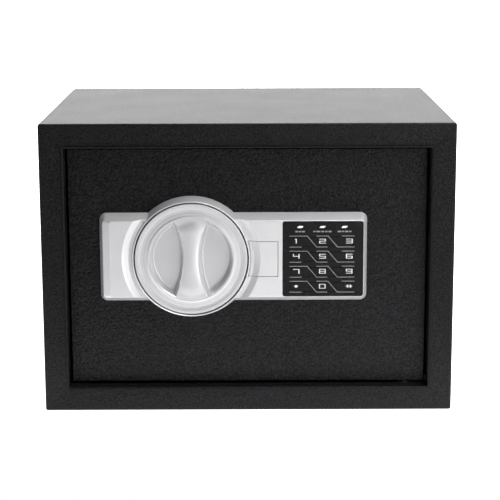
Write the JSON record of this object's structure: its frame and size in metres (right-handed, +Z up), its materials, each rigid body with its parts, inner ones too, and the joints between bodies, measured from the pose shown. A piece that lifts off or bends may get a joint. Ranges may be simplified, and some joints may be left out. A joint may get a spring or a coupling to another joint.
{
  "type": "electronic safe",
  "caption": "Small home or office safe: steel body, recessed hinged door, turn knob that throws its bolts, keypad, and an emergency key lock behind a cover.",
  "frame": {"origin": "middle of the footprint, on the underside of the base", "axes": "+X to the right seen from the front, +Y towards the back wall, +Z up; the door faces -Y"},
  "size_m": [0.35, 0.2512, 0.25],
  "materials": {
    "black_powder_coat": "fine wrinkled black powder coat on sheet steel",
    "silver_paint": "moulded plastic painted satin metallic silver, lightly brushed",
    "black_gloss_plastic": "smooth black plastic with pale printed figures and lines",
    "clear_lens": "frosted clear plastic",
    "zinc_plated_steel": "bright zinc plate on pressed steel",
    "bright_steel": "polished steel",
    "brass": "machined",
    "black_plastic": "fine textured moulded plastic",
    "red_plastic": "moulded plastic",
    "nylon": "natural nylon",
    "coil_tape": "taped copper winding",
    "circuit_board": "green solder mask",
    "felt": "dark grey needle felt",
    "battery_sleeve": "printed sleeve on a steel can",
    "wire_insulation": "bundled insulated wires"
  },
  "bodies": {
    "cabinet": {"cabinet_shell": "black_powder_coat", "back_panel": "black_powder_coat", "floor_mat": "felt", "upper_hinge_bracket": "zinc_plated_steel", "lower_hinge_bracket": "zinc_plated_steel", "upper_hinge_pin": "bright_steel", "lower_hinge_pin": "bright_steel"},
    "door": {"door_plate": "black_powder_coat", "upper_hinge_lug": "zinc_plated_steel", "lower_hinge_lug": "zinc_plated_steel", "fascia": "silver_paint", "keypad_panel": "black_gloss_plastic", "lamp_bar": "clear_lens", "keypad_board": "circuit_board", "lock_cylinder": "zinc_plated_steel", "knob_bush": "nylon", "bolt_guide": "zinc_plated_steel", "guide_stud_1": "zinc_plated_steel", "guide_stud_2": "zinc_plated_steel", "solenoid_frame": "zinc_plated_steel", "solenoid_coil": "coil_tape", "inner_cover": "black_plastic", "cover_screw_1": "zinc_plated_steel", "cover_screw_2": "zinc_plated_steel", "cover_screw_3": "zinc_plated_steel", "cover_screw_4": "zinc_plated_steel", "battery_holder": "black_plastic", "cell_1": "battery_sleeve", "cell_2": "battery_sleeve", "cell_3": "battery_sleeve", "cell_4": "battery_sleeve", "control_board": "circuit_board", "keypad_wires": "wire_insulation", "solenoid_wires": "wire_insulation"},
    "knob": {"knob": "silver_paint", "knob_spindle": "zinc_plated_steel", "spindle_ring": "zinc_plated_steel", "crank": "zinc_plated_steel"},
    "bolt_work": {"bolt_carriage": "zinc_plated_steel", "upper_bolt": "bright_steel", "lower_bolt": "bright_steel"},
    "key_cover": {"key_cover": "silver_paint"},
    "key_plug": {"lock_plug": "brass", "lock_cam": "zinc_plated_steel"},
    "plunger": {"solenoid_plunger": "zinc_plated_steel"},
    "battery_cover": {"battery_cover": "black_plastic"},
    "reset_button": {"reset_button": "red_plastic"},
    "key_1": {"key_1": "black_gloss_plastic"},
    "key_2": {"key_2": "black_gloss_plastic"},
    "key_3": {"key_3": "black_gloss_plastic"},
    "key_4": {"key_4": "black_gloss_plastic"},
    "key_5": {"key_5": "black_gloss_plastic"},
    "key_6": {"key_6": "black_gloss_plastic"},
    "key_7": {"key_7": "black_gloss_plastic"},
    "key_8": {"key_8": "black_gloss_plastic"},
    "key_9": {"key_9": "black_gloss_plastic"},
    "key_star": {"key_star": "black_gloss_plastic"},
    "key_0": {"key_0": "black_gloss_plastic"},
    "key_hash": {"key_hash": "black_gloss_plastic"}
  },
  "joints": [
    {"name": "door_hinge", "type": "hinge", "parent": "cabinet", "child": "door", "pos_m": [0.13615, -0.1067, 0.134], "axis": [0, 0, 1], "range_deg": [0, 100]},
    {"name": "knob_turn", "type": "hinge", "parent": "door", "child": "knob", "pos_m": [-0.048, -0.125, 0.134], "axis": [0, -1, 0], "range_deg": [0, 90]},
    {"name": "bolt_slide", "type": "slide", "parent": "door", "child": "bolt_work", "axis": [-1, 0, 0], "range_m": [0, 0.014]},
    {"name": "key_cover_lift", "type": "slide", "parent": "door", "child": "key_cover", "axis": [0, -1, 0], "range_m": [0, 0.025]},
    {"name": "key_turn", "type": "hinge", "parent": "door", "child": "key_plug", "pos_m": [0.01595, -0.1195, 0.134], "axis": [0, 1, 0], "range_deg": [0, 90]},
    {"name": "plunger_travel", "type": "slide", "parent": "door", "child": "plunger", "axis": [0, 0, 1], "range_m": [0, 0.008]},
    {"name": "battery_cover_lift", "type": "slide", "parent": "door", "child": "battery_cover", "axis": [0, 1, 0], "range_m": [0, 0.04]},
    {"name": "reset_travel", "type": "slide", "parent": "door", "child": "reset_button", "axis": [0, -1, 0], "range_m": [0, 0.0015], "stiffness_N_per_m": 300},
    {"name": "key_1_travel", "type": "slide", "parent": "door", "child": "key_1", "axis": [0, 1, 0], "range_m": [0, 0.0006], "stiffness_N_per_m": 300},
    {"name": "key_2_travel", "type": "slide", "parent": "door", "child": "key_2", "axis": [0, 1, 0], "range_m": [0, 0.0006], "stiffness_N_per_m": 300},
    {"name": "key_3_travel", "type": "slide", "parent": "door", "child": "key_3", "axis": [0, 1, 0], "range_m": [0, 0.0006], "stiffness_N_per_m": 300},
    {"name": "key_4_travel", "type": "slide", "parent": "door", "child": "key_4", "axis": [0, 1, 0], "range_m": [0, 0.0006], "stiffness_N_per_m": 300},
    {"name": "key_5_travel", "type": "slide", "parent": "door", "child": "key_5", "axis": [0, 1, 0], "range_m": [0, 0.0006], "stiffness_N_per_m": 300},
    {"name": "key_6_travel", "type": "slide", "parent": "door", "child": "key_6", "axis": [0, 1, 0], "range_m": [0, 0.0006], "stiffness_N_per_m": 300},
    {"name": "key_7_travel", "type": "slide", "parent": "door", "child": "key_7", "axis": [0, 1, 0], "range_m": [0, 0.0006], "stiffness_N_per_m": 300},
    {"name": "key_8_travel", "type": "slide", "parent": "door", "child": "key_8", "axis": [0, 1, 0], "range_m": [0, 0.0006], "stiffness_N_per_m": 300},
    {"name": "key_9_travel", "type": "slide", "parent": "door", "child": "key_9", "axis": [0, 1, 0], "range_m": [0, 0.0006], "stiffness_N_per_m": 300},
    {"name": "key_star_travel", "type": "slide", "parent": "door", "child": "key_star", "axis": [0, 1, 0], "range_m": [0, 0.0006], "stiffness_N_per_m": 300},
    {"name": "key_0_travel", "type": "slide", "parent": "door", "child": "key_0", "axis": [0, 1, 0], "range_m": [0, 0.0006], "stiffness_N_per_m": 300},
    {"name": "key_hash_travel", "type": "slide", "parent": "door", "child": "key_hash", "axis": [0, 1, 0], "range_m": [0, 0.0006], "stiffness_N_per_m": 300}
  ],
  "couplings": [
    {"joint": "bolt_slide", "follows": "knob_turn", "m_per_rad": 0.0089126}
  ]
}
